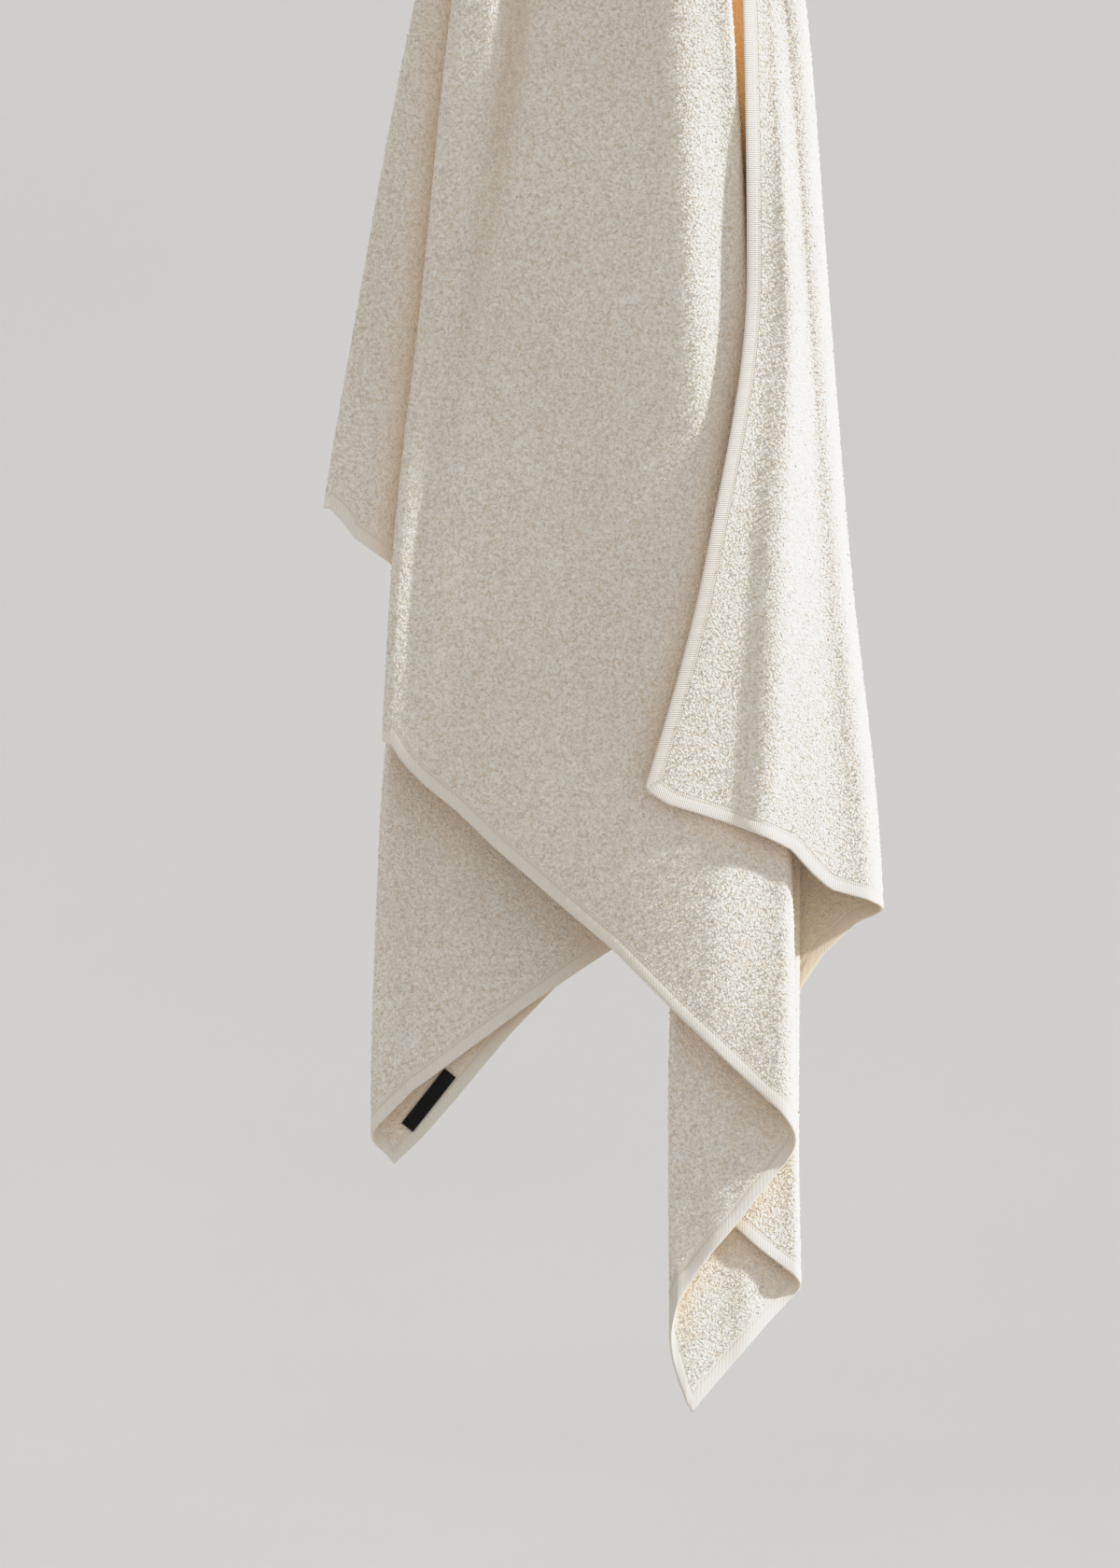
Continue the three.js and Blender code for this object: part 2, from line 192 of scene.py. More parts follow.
# Pile: tufts of yarn in all, and the range of their length, width and height in millimetres
TUFTS = 188000
TUFT_PIECES = ("pile_top", "pile_upper", "pile_lower", "pile_bottom")
TUFT_LENGTH = (1.3, 2.5)
TUFT_WIDTH = (0.5, 0.9)
TUFT_HEIGHT = (0.4, 0.85)
TUFT_ROOT = 0.2
TUFT_TILT = 0.3
TUFT_SPREAD = 0.75
TUFT_LEAN = 0.3
TUFT_SHADE_LEAN = 0.12
TUFT_ROUNDING = 0.3

# Even steps of the tufts through their cells, how far each strays, and where the pile ends at a hem
TUFT_STEPS = (0.7548777, 0.5698403)
TUFT_STRAY = 0.25
PILE_SEARCH = 0.8
PILE_EDGE = (0.5, 0.35)

# The pile is closer on surfaces that face the room, and its clumps stand a little proud
FRONT_DENSITY = 1.5
FRONT_FACING = -0.2
LUMP_SIZE = 3.1
LUMP_LOW = 0.75
LUMP_RISE = 0.5

# A cell of the cloth is open as far as rays from it get this many millimetres away. They leave it at these
# tilts, in degrees. A pocket begins at the first openness in POCKET and is deepest at the second.
OPEN_REACH = 90
OPEN_LIFT = 0.3
OPEN_TILTS = (0, 35, 65)
OPEN_TURNS = 5
POCKET = (0.93, 0.35)

# Hem stitches and the hem's ribs, in millimetres
STITCH_PITCH = 3.4
STITCH_SIZE = (2.5, 0.5, 0.28)
STITCH_PROBE = 0.5
RIB_PITCH = 1.2
SEAM_WIDTHS = (0.9, 0.3)

# Cream yarns from the palest to the warmest; in the pockets between the layers the pile takes the warmer
# ones, as painted warm shade
YARNS = (
    (0.97, 0.965, 0.955), (0.91, 0.885, 0.845), (0.77, 0.715, 0.64), (0.93, 0.85, 0.73), (0.93, 0.80, 0.64),
)
YARNS_MIXED = 3

# Other colours. A pair goes from hollows to tops; on the cloth's ground, the hem and the label the darker
# hollows are painted shade.
GROUND_COLOURS = ((0.68, 0.58, 0.46), (0.90, 0.87, 0.81))
GROUND_TONES = ((0.95, 0.94, 0.92), (1.0, 1.0, 1.0))
# Painted warm shade on the cloth in the pockets between its layers
POCKET_SHADE_COLOUR = (0.92, 0.72, 0.49)
POCKET_SHADE_TINT = 0.8
HEM_COLOURS = ((0.79, 0.73, 0.64), (0.90, 0.86, 0.80))
# Painted shade in the groove of the hem's stitch line
SEAM_SHADE_COLOUR = (0.66, 0.54, 0.40)
SEAM_SHADE_TINT = 0.5
LABEL_COLOURS = ((0.004, 0.004, 0.0045), (0.018, 0.0175, 0.019))
STEEL_COLOUR = (0.60, 0.58, 0.55)
PAPER_COLOURS = ((0.90, 0.90, 0.90), (0.93, 0.93, 0.93))

# How fine the surface patterns are, as their textures' scales
LOOP_SCALE = 430.0
CELL_SCALE = 620.0
CLUMP_SCALE = 70.0
BROAD_SCALE = 7.0
THREAD_SCALE = 1500.0
WEFT_SCALE = 900.0
WARP_SCALE = 520.0
BRUSH_SCALES = (900.0, 60.0, 900.0)
SMEAR_SCALE = 60.0
PAPER_SCALE = 0.6

# Bumps: strength, and depth in metres
TERRY_BUMP = (0.7, 0.0013)
LABEL_BUMP = (0.7, 0.0002)
STEEL_BUMP = (0.25, 0.0001)

# Soft light from all round, and a low sun from the right
ROOM_COLOUR = (1.0, 0.985, 0.96)
ROOM_STRENGTH = 0.75
SUN_COLOUR = (0.93, 0.97, 1.0)
SUN_STRENGTH = 5.6
SUN_WIDTH = math.radians(3)
SUN_WAY = (-0.87, 0.135, -0.50)

# Warm light that the sunlit front flap lets through into the gap beside it, in metres and watts
GLOW_COLOUR = (1.0, 0.60, 0.26)
GLOW_POWER = 0.008
GLOW_SIZE = (0.003, 0.11)
GLOW_PLACE = (0.0725, -0.092, -0.145)
GLOW_WAY = (-0.15, 1, 0)

# Light on the picture, where 1 is a white card in full light, and how bright it is shown. The tones run up to
# TONE_LIMIT, and the last of the view's four curves holds them for all colours.
TONES = ((0.2, 0.2), (0.45, 0.45), (0.6, 0.595), (0.8, 0.76), (1.0, 0.85), (1.4, 0.925), (2.0, 0.965))
TONE_LIMIT = 3
TONE_TOP = 0.99
ALL_COLOURS = 3

# Backdrop, in metres: a pale floor that curves up into a low round wall, the same from every side
FLOOR_HEIGHT = -1.75
FLOOR_RINGS = (0.01, 1.5, 3.5)
FLOOR_RADIUS = 5.2
SWEEP_RADIUS = 2.8
SWEEP_STEPS = 13
SWEEP_SIDES = 96
WALL_TOP = 2.2


def mix(a, b, t):
    """What lies a share t of the way from a to b."""
    return a + (b - a) * t


def smooth(value, low, high):
    """0 at low and 1 at high, with a soft start and end."""
    t = np.clip((value - low) / (high - low), 0, 1)
    return t * t * (3 - 2 * t)


def unit(v):
    """Vectors brought to a length of 1."""
    return v / np.maximum(np.linalg.norm(v, axis=-1, keepdims=True), 1e-9)


def flattened(way, normal):
    """Directions laid flat against surfaces with these normals."""
    return unit(way - normal * np.sum(way * normal, axis=-1, keepdims=True))


def at_level(values, drop):
    """Reads a row of level values at distances down the cloth, as one smooth curve."""
    values = np.asarray(values, float)
    steps = np.diff(values) / np.diff(LEVELS)
    slopes = np.concatenate([steps[:1], np.zeros(len(steps) - 1), steps[-1:]])
    product, total = steps[:-1] * steps[1:], steps[:-1] + steps[1:]
    even = product > 0
    slopes[1:-1][even] = 2 * product[even] / total[even]
    place = np.clip(drop, 0, LEVELS[-1])
    k = np.clip(np.searchsorted(LEVELS, place, side="right") - 1, 0, len(LEVELS) - 2)
    span = LEVELS[k + 1] - LEVELS[k]
    t = (place - LEVELS[k]) / span
    lean = span * t * (1 - t) * ((1 - t) * slopes[k] - t * slopes[k + 1])
    return mix(values[k], values[k + 1], t * t * (3 - 2 * t)) + lean


def layer_width(index, drop):
    """Width of a layer along x, at distances down the cloth."""
    return np.abs(at_level(LINE_X[index + 1], drop) - at_level(LINE_X[index], drop))


def depth_at(index, share, drop):
    """Distance from the wall of a layer, at a share along it."""
    layer = LAYERS[index]
    start, crest, end = layer["depth"]
    rising = mix(start, crest, smooth(share / layer["crest"], 0, 1))
    falling = mix(crest, end, smooth((share - layer["crest"]) / (1 - layer["crest"]), 0, 1))
    settled = np.where(share < layer["crest"], rising, falling)
    bunched = HOOK_REACH + SADDLE_RADIUS + BUNCH_PITCH * layer["order"]
    depth = mix(bunched, settled, smooth(drop, RELAX_FROM, RELAX_TO))
    for row in RELIEF:
        if row["layer"] == layer["name"]:
            away = (share - at_level(row["share"], drop)) * layer_width(index, drop) / row["half_width"]
            depth = depth + at_level(row["height"], drop) * np.exp(-away * away)
    return depth


def turn_at(line, drop):
    """Middle depth of the turn at a line, and how far the turn reaches along x."""
    if line in (0, len(LINE_X) - 1):
        return 0 * drop, 0 * drop
    before, after = depth_at(line - 1, 1.0, drop), depth_at(line, 0.0, drop)
    reach = np.minimum(np.abs(before - after) / 2, TURN_REACH)
    narrowest = np.minimum(layer_width(line - 1, drop), layer_width(line, drop))
    return (before + after) / 2, np.minimum(reach, TURN_SHARE * narrowest)


def share_at(column, drop):
    """Share of a column along its layer. A free edge's hem columns keep their distance from that edge."""
    index, share, inset = column["index"], column["share"], column.get("inset")
    if index not in (0, len(LAYERS) - 1):
        return share
    zone = np.minimum(HEM_INSETS[-1] / layer_width(index, drop), EDGE_ZONE_SHARE)
    from_edge = share if index == 0 else 1 - share
    from_edge = mix(zone, 1, from_edge) if inset is None else zone * inset / HEM_INSETS[-1]
    return from_edge if index == 0 else 1 - from_edge


def section_point(column, drop):
    """x and distance from the wall of the cloth's middle, for one column at many distances down it."""
    index, turn = column["index"], column["turn"]
    share = share_at(column, drop)
    start, end = at_level(LINE_X[index], drop), at_level(LINE_X[index + 1], drop)
    way = np.sign(end - start)
    first, last = turn_at(index, drop), turn_at(index + 1, drop)
    x = mix(start + way * first[1], end - way * last[1], share)
    depth = depth_at(index, share, drop)
    if turn == 0:
        return x, depth
    leading = column["share"] == 0
    middle, reach = first if leading else last
    angle = turn * math.pi / 2
    return x + (-way if leading else way) * reach * math.sin(angle), mix(middle, depth, math.cos(angle))


def cloth_points(column, run):
    """Points of one column. run is the distance down the front; below zero it goes back over the ball."""
    x, depth = section_point(column, np.maximum(run, 0))
    radius = depth - HOOK_REACH
    over_ball = np.clip(-run / SADDLE_RADIUS, 0, math.pi)
    tail = np.maximum(-run - math.pi * SADDLE_RADIUS, 0)
    front = run >= 0
    y = np.where(front, -depth, -HOOK_REACH - radius * np.cos(over_ball))
    z = np.where(front, BALL_HEIGHT - run, BALL_HEIGHT + radius * np.sin(over_ball) - tail)
    return np.stack([x + 0 * run, y, z], axis=-1)


def grid_points(columns, runs):
    """Points of many columns, as one grid."""
    return np.array([cloth_points(column, run) for column, run in zip(columns, runs)])


def make_columns():
    """Every column of the cloth, in its own order, each with the place and the slope of its lower hem."""
    columns = []
    last_layer = len(LAYERS) - 1
    for index, layer in enumerate(LAYERS):
        shares, drops = (np.array(values, float) for values in zip(*layer["hem"]))
        flat = np.union1d(np.linspace(0, 1, layer["columns"] + 1), shares)
        flat = flat[np.concatenate([[True], np.diff(flat) > LEAST_SHARE])]
        flat[-1] = 1
        made = [dict(index=index, share=share, turn=0) for share in flat]
        if index == 0:
            made = [dict(index=0, share=0, turn=0, inset=inset) for inset in HEM_INSETS[:-1]] + made
        if index == last_layer:
            made += [dict(index=index, share=1, turn=0, inset=inset) for inset in HEM_INSETS[-2::-1]]
        for column in made:
            column["hem"] = np.interp(share_at(column, drops.mean()), shares, drops)
        columns += made
        if index == last_layer:
            break
        end, start = drops[-1], LAYERS[index + 1]["hem"][0][1]
        for k in range(1, 2 * TURN_STEPS):
            early = k <= TURN_STEPS
            columns.append(dict(
                index=index if early else index + 1, share=1.0 if early else 0.0,
                turn=1 - abs(k / TURN_STEPS - 1), hem=mix(end, start, k / (2 * TURN_STEPS)),
            ))
    edge = np.array([cloth_points(column, np.array([column["hem"]]))[0] for column in columns])
    hems = np.array([column["hem"] for column in columns])
    level = np.linalg.norm(np.gradient(edge, axis=0)[:, :2], axis=-1)
    slope = np.gradient(hems) / np.maximum(level, LEAST_STEP)
    for column, lean in zip(columns, 1 / np.sqrt(1 + np.clip(slope, -STEEPEST_HEM, STEEPEST_HEM) ** 2)):
        column["lean"] = lean
    return columns


def rows_of(column):
    """Distances down the front at which a column has its points, from the tail's hem to the lower hem."""
    tail_end = -math.pi * SADDLE_RADIUS - TAIL_LENGTH
    saddle = np.linspace(tail_end + SADDLE_FROM, 0, SADDLE_ROWS)
    upper = np.arange(UPPER_ROW_STEP, UPPER_END + 1, UPPER_ROW_STEP)
    hem = column["hem"] - HEM_INSETS[::-1] / column["lean"]
    lower = np.linspace(upper[-1], hem[0], LOWER_ROWS + 1)[1:-1]
    return np.concatenate([tail_end + HEM_INSETS, saddle, upper, lower, hem])


def half_thickness(distance):
    """Half the cloth's thickness at a distance from its edge: a flat hem, its stitch line, the ground."""
    edge = np.sqrt(np.clip(distance / EDGE_ROUNDING, 0, 1)) * EDGE_RISE + EDGE_LEAST
    stitch = np.exp(-((distance - STITCH_INSET) / STITCH_DIP_WIDTH) ** 2)
    ground = smooth(distance, *HEM_ENDS)
    return edge * HEM_CLOTH / 2 - STITCH_DIP * stitch - ground * (HEM_CLOTH - GROUND_CLOTH) / 2


def shape_towel():
    """The towel's grid of points: its two faces, their normal, and each point's place in the hem."""
    columns = make_columns()
    runs = np.array([rows_of(column) for column in columns])
    middle = grid_points(columns, runs)
    ahead = grid_points(columns[1:] + columns[-1:], runs)
    behind = grid_points(columns[:1] + columns[:-1], runs)
    below, above = grid_points(columns, runs + PROBE), grid_points(columns, runs - PROBE)
    normal = unit(np.cross(unit(ahead - middle) - unit(behind - middle), below - above))

    # Distance from the nearest edge, and along that edge
    hems = np.array([column["hem"] for column in columns])[:, None]
    lean = np.array([column["lean"] for column in columns])[:, None]
    steps = np.linalg.norm(np.diff(middle, axis=0), axis=-1)
    across = np.cumsum(np.concatenate([np.zeros((1, runs.shape[1])), steps]), axis=0)
    along = across[:, -1:] + 0 * runs
    distances = np.stack([(hems - runs) * lean, runs - runs[:, :1], across, across[-1] - across])
    nearest = np.argmin(distances, axis=0)
    distance = np.min(distances, axis=0)
    hem_run = np.choose(nearest, [along, across, runs, runs])
    thickness = half_thickness(distance)[..., None]
    return dict(
        face=middle - normal * thickness, reverse=middle + normal * thickness, normal=normal,
        distance=distance, hem_run=hem_run, middle=middle,
    )


def outward(shape, side):
    """Directions straight out of one side of the cloth."""
    return shape["normal"] * (-1 if side == "face" else 1)


def new_object(name, vertices, faces, material_of=None):
    """A smooth mesh object from points in millimetres."""
    mesh = bpy.data.meshes.new(name)
    mesh.from_pydata((np.asarray(vertices) * MM).tolist(), [], np.asarray(faces).tolist())
    mesh.polygons.foreach_set("use_smooth", np.ones(len(mesh.polygons), bool))
    if material_of is not None:
        mesh.polygons.foreach_set("material_index", material_of)
    mesh.update()
    thing = bpy.data.objects.new(name, mesh)
    bpy.context.scene.collection.objects.link(thing)
    return thing


def sheet_points(face, reverse):
    """Points of a closed sheet, in the order that sheet_faces takes them."""
    return np.concatenate([face.reshape(-1, 3), reverse.reshape(-1, 3)])


def sheet_faces(size):
    """Faces of a closed sheet: its face, its reverse behind it, and the rim that joins them."""
    count = size[0] * size[1]
    grid = np.arange(count).reshape(size)
    a, b, c, d = grid[:-1, :-1], grid[1:, :-1], grid[1:, 1:], grid[:-1, 1:]
    face = np.stack([a, d, c, b], axis=-1).reshape(-1, 4)
    reverse = np.stack([a, b, c, d], axis=-1).reshape(-1, 4) + count
    rim = np.concatenate([grid[:, 0], grid[-1, 1:], grid[-2::-1, -1], grid[0, -2:0:-1]])
    following = np.roll(rim, -1)
    edge = np.stack([rim, following, following + count, rim + count], axis=-1)
    return np.concatenate([face, reverse, edge])


def build_towel(shape):
    """The cloth, with each point's place in the hem as its UV and its place in a pocket as an attribute,
    which sets the painted warm shade.
    """
    vertices = sheet_points(shape["face"], shape["reverse"])
    towel = new_object("towel_cloth", vertices, sheet_faces(shape["middle"].shape[:2]))
    uv = np.stack([shape["hem_run"], shape["distance"]], axis=-1).reshape(-1, 2) * MM
    corners = np.empty(len(towel.data.loops), dtype=np.int64)
    towel.data.loops.foreach_get("vertex_index", corners)
    layer = towel.data.uv_layers.new(name="Hem")
    layer.data.foreach_set("uv", np.concatenate([uv, uv])[corners].astype(np.float32).ravel())
    pockets = np.concatenate([pocket_at(shape, side).ravel() for side in SIDES]).astype(np.float32)
    towel.data.attributes.new("Pocket", "FLOAT", "POINT").data.foreach_set("value", pockets)
    return towel


def inside_cells(grid, row, column, u, v):
    """Values inside chosen cells of a grid, at shares u and v across them."""
    if grid.ndim > 2:
        u, v = u[:, None], v[:, None]
    near = mix(grid[row, column], grid[row + 1, column], u)
    far = mix(grid[row, column + 1], grid[row + 1, column + 1], u)
    return mix(near, far, v)


def cell_middles(grid):
    """Values at the middle of every cell of a grid."""
    near = mix(grid[:-1, :-1], grid[1:, :-1], 0.5)
    far = mix(grid[:-1, 1:], grid[1:, 1:], 0.5)
    return mix(near, far, 0.5)


def openness(shape, side):
    """How open each cell of one side of the cloth is: the share of the rays from it that get away."""
    size = shape["middle"].shape[:2]
    vertices = sheet_points(shape["face"], shape["reverse"])
    tree = BVHTree.FromPolygons(vertices.tolist(), sheet_faces(size).tolist())
    centres = cell_middles(shape[side]).reshape(-1, 3)
    normals = unit(cell_middles(outward(shape, side))).reshape(-1, 3)
    down = unit(np.diff(shape[side], axis=1)[:-1]).reshape(-1, 3)
    across = np.cross(normals, down)
    starts = centres + normals * OPEN_LIFT
    free, cast = np.zeros(len(centres)), 0
    for tilt in np.radians(OPEN_TILTS):
        for turn in np.linspace(0, 2 * math.pi, OPEN_TURNS if tilt else 1, endpoint=False):
            flat = down * math.cos(turn) + across * math.sin(turn)
            rays = normals * math.cos(tilt) + flat * math.sin(tilt)
            free += [tree.ray_cast(Vector(start), Vector(ray), OPEN_REACH)[0] is None
                     for start, ray in zip(starts, rays)]
            cast += 1
    return (free / cast).reshape(size[0] - 1, size[1] - 1)


def soften(values):
    """Each value of a grid, averaged with its neighbours."""
    padded = np.pad(values, 1, mode="edge")
    rows = (padded[:-2] + padded[1:-1] + padded[2:]) / 3
    return (rows[:, :-2] + rows[:, 1:-1] + rows[:, 2:]) / 3


def pocket_at(shape, side):
    """How deep in a pocket each point of one side of the cloth lies, from 0 to 1, which sets the painted warm
    shade.
    """
    padded = np.pad(soften(soften(soften(shape["open"][side]))), 1, mode="edge")
    points = (padded[:-1, :-1] + padded[1:, :-1] + padded[:-1, 1:] + padded[1:, 1:]) / 4
    return np.clip((POCKET[0] - points) / (POCKET[0] - POCKET[1]), 0, 1)


def make_tufts(points, normals, ways, sizes, tilt):
    """Short raised strokes of yarn: two ends, two sides and a top each, as four triangles."""
    length, width, height = (size[:, None] for size in sizes)
    side = np.cross(normals, ways)
    root = points - normals * TUFT_ROOT
    ends = root + ways * length / 2, root - ways * length / 2
    sides = root + side * width / 2, root - side * width / 2
    top = points + normals * height + ways * length * tilt[:, None]
    vertices = np.stack([ends[0], sides[0], ends[1], sides[1], top], axis=1).reshape(-1, 3)
    first = np.arange(len(points))[:, None] * 5
    faces = np.concatenate([first + np.array([k, (k + 1) % 4, 4]) for k in range(4)])
    return vertices, faces.reshape(4, -1, 3).transpose(1, 0, 2).reshape(-1, 3)


def pile_weight(shape, side):
    """How much pile each cell of one side gets: none in a hem or where no ray gets away."""
    grid = shape[side]
    diagonals = grid[1:, 1:] - grid[:-1, :-1], grid[1:, :-1] - grid[:-1, 1:]
    area = (np.linalg.norm(np.cross(*diagonals), axis=-1) / 2).ravel()
    front = cell_middles(outward(shape, side))[..., 1].ravel() < FRONT_FACING
    weight = area * np.where(front, FRONT_DENSITY, 1) * (shape["open"][side].ravel() > 0)
    return weight * (cell_middles(shape["distance"]).ravel() > HEM_WIDTH * PILE_SEARCH)


def scatter_pile(shape, rng):
    """Where the tufts go, the cloth's normal there, the way they lie, and how deep in a pocket they are."""
    weights = [pile_weight(shape, side) for side in SIDES]
    total = sum(weight.sum() for weight in weights)
    found = []
    for side, weight in zip(SIDES, weights):
        grid = shape[side]
        wanted = int(TUFTS * weight.sum() / total)
        order = np.arange(wanted)
        cell = np.searchsorted(np.cumsum(weight) / weight.sum(), (order + 0.5) / wanted)
        row, column = np.divmod(np.minimum(cell, len(weight) - 1), grid.shape[1] - 1)
        u, v = ((order * step + rng.random(wanted) * TUFT_STRAY) % 1 for step in TUFT_STEPS)
        place = row, column, u, v
        keep = inside_cells(shape["distance"], *place) > HEM_WIDTH + rng.normal(*PILE_EDGE, wanted)
        normal = unit(inside_cells(outward(shape, side), *place))
        down = flattened(unit(grid[row, column + 1] - grid[row, column]), normal)
        turn = rng.normal(0, TUFT_SPREAD, wanted)[:, None]
        way = down * np.cos(turn) + np.cross(normal, down) * np.sin(turn)
        pocket = inside_cells(pocket_at(shape, side), *place)
        found.append([values[keep] for values in (inside_cells(grid, *place), normal, way, pocket)])
    return [np.concatenate(values) for values in zip(*found)]


def lump_field(points):
    """Soft clumps in the pile, a few millimetres across, from 0 to 1."""
    x, y, z = points.T / LUMP_SIZE
    waves = np.sin(x * 1.9 + np.sin(z * 1.3 + y)) + np.sin(z * 1.6 + np.sin(x * 1.1 - y * 1.7))
    return (waves + np.sin(x * 0.7 - z * 0.9 + y)) / 6 + 0.5


def build_pile(shape, yarns):
    """The terry's tufts, in pieces from the top of the towel to the bottom, each tuft in one cream yarn."""
    rng = np.random.default_rng(SEED)
    points, normals, ways, pockets = scatter_pile(shape, rng)
    count = len(points)
    sizes = [mix(low, high, rng.random(count)) for low, high in (TUFT_LENGTH, TUFT_WIDTH, TUFT_HEIGHT)]
    sizes[2] *= LUMP_LOW + LUMP_RISE * lump_field(points)
    tilt = rng.uniform(-TUFT_TILT, TUFT_TILT, count)
    # Deeper in a pocket, a tuft takes a warmer yarn: painted warm shade
    warmer = pockets * (len(YARNS) - YARNS_MIXED)
    shade = np.minimum((rng.random(count) * YARNS_MIXED + warmer).astype(int), len(YARNS) - 1)
    leaning = unit(normals + rng.normal(0, TUFT_LEAN, (count, 3)))
    shading = unit(normals + rng.normal(0, TUFT_SHADE_LEAN, (count, 3)))
    ways = flattened(ways, leaning)
    pieces = []
    for name, chosen in zip(TUFT_PIECES, np.array_split(np.argsort(-points[:, 2]), len(TUFT_PIECES))):
        picked = [size[chosen] for size in sizes]
        vertices, faces = make_tufts(points[chosen], leaning[chosen], ways[chosen], picked, tilt[chosen])
        piece = new_object(name, vertices, faces, np.repeat(shade[chosen], 4).astype(np.int32))
        soft = vertices.reshape(-1, 5, 3)
        soft = unit(soft - soft.mean(axis=1, keepdims=True)) * TUFT_ROUNDING + shading[chosen][:, None]
        piece.data.normals_split_custom_set_from_vertices(unit(soft).reshape(-1, 3).tolist())
        for material in yarns:
            piece.data.materials.append(material)
        pieces.append(piece)
    return pieces


def build_stitches(shape):
    """A running stitch along every hem, on both sides of the cloth."""
    stitch_row = int(np.argmin(np.abs(HEM_INSETS - STITCH_INSET)))
    far_row = -1 - stitch_row
    inner = slice(stitch_row, -stitch_row)
    parts, first = [], 0
    for side in SIDES:
        for cut in ((inner, stitch_row), (inner, far_row), (stitch_row, inner), (far_row, inner)):
            path, normal = shape[side][cut], outward(shape, side)[cut]
            run = np.concatenate([[0], np.cumsum(np.linalg.norm(np.diff(path, axis=0), axis=1))])
            places = np.arange(STITCH_PITCH / 2, run[-1], STITCH_PITCH)
            points, ahead, normals = (
                np.stack([np.interp(at, run, values[:, k]) for k in range(3)], axis=1)
                for at, values in ((places, path), (places + STITCH_PROBE, path), (places, normal))
            )
            sizes = [np.full(len(places), size) for size in STITCH_SIZE]
            vertices, faces = make_tufts(points, unit(normals), unit(ahead - points), sizes, 0 * places)
            parts.append((vertices, faces + first))
            first += len(vertices)
    return new_object("hem_stitches", *(np.concatenate(values) for values in zip(*parts)))


def label_grid(lift):
    """Points of the label at a height over the towel's reverse, along it and across it."""
    along, aside = np.meshgrid(
        np.linspace(-LABEL_LENGTH / 2, LABEL_LENGTH / 2, LABEL_GRID[0] + 1),
        np.linspace(-LABEL_WIDTH / 2, LABEL_WIDTH / 2, LABEL_GRID[1] + 1), indexing="ij",
    )
    x = LABEL_CENTRE[0] + along * math.cos(LABEL_SLOPE) - aside * math.sin(LABEL_SLOPE)
    drop = LABEL_CENTRE[1] - along * math.sin(LABEL_SLOPE) - aside * math.cos(LABEL_SLOPE)
    ends = [section_point(dict(index=WALL_LAYER, share=share, turn=0), drop)[0] for share in (0, 1)]
    share = (x - ends[0]) / (ends[1] - ends[0])
    depth = section_point(dict(index=WALL_LAYER, share=share, turn=0), drop)[1]
    return np.stack([x, -depth - lift(along, aside), BALL_HEIGHT - drop], axis=-1)


def label_top(along, aside):
    """Height of the label's upper face: ends folded under, a stitch line at each, and a crosswise weave."""
    from_end, from_side = LABEL_LENGTH / 2 - np.abs(along), LABEL_WIDTH / 2 - np.abs(aside)
    folded = smooth(from_end, LABEL_FOLD + LABEL_EDGE, LABEL_FOLD - LABEL_EDGE)
    dip = np.exp(-((from_end - LABEL_STITCH) / LABEL_EDGE) ** 2)
    edge = smooth(from_side, 0, LABEL_EDGE) * smooth(from_end, 0, LABEL_EDGE)
    weave = LABEL_WEAVE * np.sin(along * math.pi)
    tape = LABEL_TAPE * (LABEL_EDGE_LEAST + LABEL_EDGE_RISE * edge)
    return LABEL_LIFT + tape + LABEL_FOLD_RISE * folded - LABEL_STITCH_DIP * dip + weave


def build_label():
    """The woven label, as a thin closed tape."""
    top = label_grid(label_top)
    bottom = label_grid(lambda along, aside: LABEL_LIFT + 0 * along)
    return new_object("label_tape", sheet_points(top, bottom), sheet_faces(top.shape[:2])[:, ::-1])


class Nodes:
    """Short calls for building one material's nodes."""

    def __init__(self, name):
        self.material = bpy.data.materials.new(name)
        self.material.use_nodes = True
        self.tree = self.material.node_tree
        self.shader = self.tree.nodes["Principled BSDF"]

    def set(self, **values):
        """Values on the shader's own sockets, with an underscore for each space in a name."""
        for name, value in values.items():
            self.shader.inputs[name.replace("_", " ")].default_value = value

    def put(self, kind, inputs=(), **settings):
        """A new node with its settings, and its inputs linked or set."""
        node = self.tree.nodes.new(kind)
        for name, value in settings.items():
            setattr(node, name, value)
        for name, value in dict(inputs).items():
            if isinstance(value, bpy.types.NodeSocket):
                self.tree.links.new(value, node.inputs[name])
            else:
                node.inputs[name].default_value = value
        return node

    def place(self):
        return self.put("ShaderNodeTexCoord").outputs["Object"]

    def noise(self, place, scale, detail=2.0, distortion=0.0):
        inputs = {"Vector": place, "Scale": scale, "Detail": detail, "Distortion": distortion}
        return self.put("ShaderNodeTexNoise", inputs).outputs[0]

    def math(self, operation, a, b=0.0):
        return self.put("ShaderNodeMath", {0: a, 1: b}, operation=operation).outputs[0]

    def between(self, value, low, high):
        """0 at low and 1 at high, in a straight line."""
        return self.put("ShaderNodeMapRange", {0: value, 1: low, 2: high}, clamp=True).outputs[0]

    def blend(self, factor, a, b, data_type="RGBA", **settings):
        first, second, result = (6, 7, 2) if data_type == "RGBA" else (2, 3, 0)
        inputs = {0: factor, first: a, second: b}
        return self.put("ShaderNodeMix", inputs, data_type=data_type, **settings).outputs[result]

    def ramp(self, value, low, high, a, b):
        """A colour between a and b as a value goes from low to high."""
        return self.blend(self.between(value, low, high), (*a, 1), (*b, 1))

    def bump(self, height, strength, distance):
        node = self.put("ShaderNodeBump", {"Height": height, "Strength": strength, "Distance": distance})
        self.link(node.outputs[0], "Normal")

    def link(self, socket, name):
        self.tree.links.new(socket, self.shader.inputs[name])


